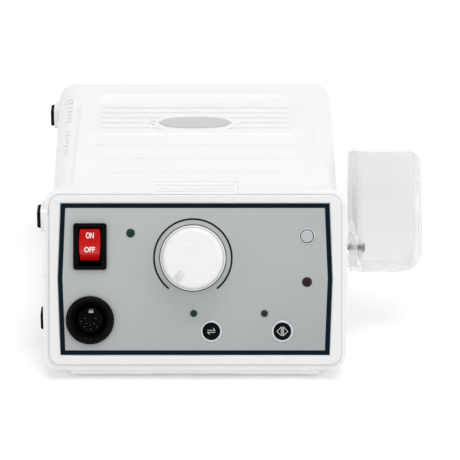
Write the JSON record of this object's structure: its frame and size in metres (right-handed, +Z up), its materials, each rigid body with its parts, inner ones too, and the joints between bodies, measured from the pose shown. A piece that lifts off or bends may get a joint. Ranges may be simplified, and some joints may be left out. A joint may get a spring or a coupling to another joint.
{
  "type": "nail drill machine",
  "caption": "Tabletop motor control box with a sloping panel of speed knob, rocker switch, keys and lamps, a round multi-pin socket and a clear cup pivoted on its side.",
  "frame": {"origin": "on the surface the box stands on, under the middle of its bounding box with the cup: 17.1 mm to the right of the housing's own middle plane", "axes": "+X to the box's right as its user sees it, +Y to its rear, +Z up; the sloping panel faces -Y and up"},
  "size_m": [0.1784, 0.1712, 0.0865],
  "materials": {
    "housing": "satin",
    "dark_foot": "matte",
    "badge": "satin",
    "label": "brushed, with a dark printed border",
    "knob": "gloss",
    "red": "gloss",
    "black": "satin",
    "dark_key": "satin",
    "silver_key": "satin",
    "ring": "polished",
    "lamp": "gloss",
    "lamp_red": "gloss",
    "steel": "satin",
    "brass": "satin",
    "circuit": "satin",
    "copper": "satin",
    "dark_steel": "matte",
    "metal": "satin",
    "fuse_glass": "clear",
    "clear": "clear"
  },
  "bodies": {
    "case": {"upper_housing": "housing", "lower_housing": "housing", "base_feet": "dark_foot", "side_feet": "dark_foot", "housing_screws": "steel", "badge_plate": "badge", "front_frame": "housing", "control_panel": "label", "key_rings": "ring", "tact_switches": "black", "control_board": "circuit", "control_board_screws": "steel", "power_lamp": "lamp", "hand_foot_lamp": "lamp", "direction_lamp": "lamp", "overload_lamp": "lamp_red", "power_switch_frame": "black", "power_switch_blades": "brass", "potentiometer_body": "steel", "potentiometer_nut": "steel", "socket_shell": "black", "socket_insert": "black", "socket_contacts": "brass", "socket_nut": "steel", "rear_panel": "black", "mains_inlet": "black", "inlet_pins": "brass", "pedal_jack": "black", "pedal_jack_nut": "steel", "fuse_holder": "black", "fuse": "fuse_glass", "main_board": "circuit", "main_board_screws": "steel", "smoothing_capacitor": "metal", "rectifier": "black", "heat_sink": "metal", "power_transistor": "black", "board_plugs": "housing", "transformer_core": "dark_steel", "transformer_winding": "copper", "transformer_bracket": "steel", "transformer_screws": "steel", "holder_spacer": "housing", "holder_nutsert": "brass", "holder_washers": "steel", "holder_screw": "steel"},
    "knob": {"speed_knob": "knob", "potentiometer_shaft": "metal"},
    "rocker": {"power_switch_rocker": "red"},
    "mode_key": {"hand_foot_button": "dark_key"},
    "direction_key": {"direction_button": "dark_key"},
    "reset_key": {"reset_button": "silver_key"},
    "fuse_cap": {"fuse_cap": "black"},
    "cup": {"holder_cup": "clear"}
  },
  "joints": [
    {"name": "speed_knob_turn", "type": "hinge", "parent": "case", "child": "knob", "pos_m": [-0.01813, -0.06297, 0.0517], "axis": [0, 0.887, -0.4617], "range_deg": [0, 285]},
    {"name": "power_switch_rock", "type": "hinge", "parent": "case", "child": "rocker", "pos_m": [-0.06483, -0.05658, 0.05423], "axis": [1, 0, 0], "range_deg": [0, 30]},
    {"name": "hand_foot_press", "type": "slide", "parent": "case", "child": "mode_key", "axis": [0, 0.887, -0.4617], "range_m": [0, 0.0008], "stiffness_N_per_m": 700, "springref_m": -0.0006},
    {"name": "direction_press", "type": "slide", "parent": "case", "child": "direction_key", "axis": [0, 0.887, -0.4617], "range_m": [0, 0.0008], "stiffness_N_per_m": 700, "springref_m": -0.0006},
    {"name": "reset_press", "type": "slide", "parent": "case", "child": "reset_key", "axis": [0, 0.887, -0.4617], "range_m": [0, 0.0008], "stiffness_N_per_m": 700, "springref_m": -0.0006},
    {"name": "fuse_cap_twist", "type": "hinge", "parent": "case", "child": "fuse_cap", "pos_m": [0.01387, 0.08153, 0.043], "axis": [0, 1, 0], "range_deg": [-90, 0]},
    {"name": "cup_tilt", "type": "hinge", "parent": "case", "child": "cup", "pos_m": [0.05877, -0.02697, 0.0387], "axis": [1, 0, 0], "range_deg": [-40, 60]}
  ]
}
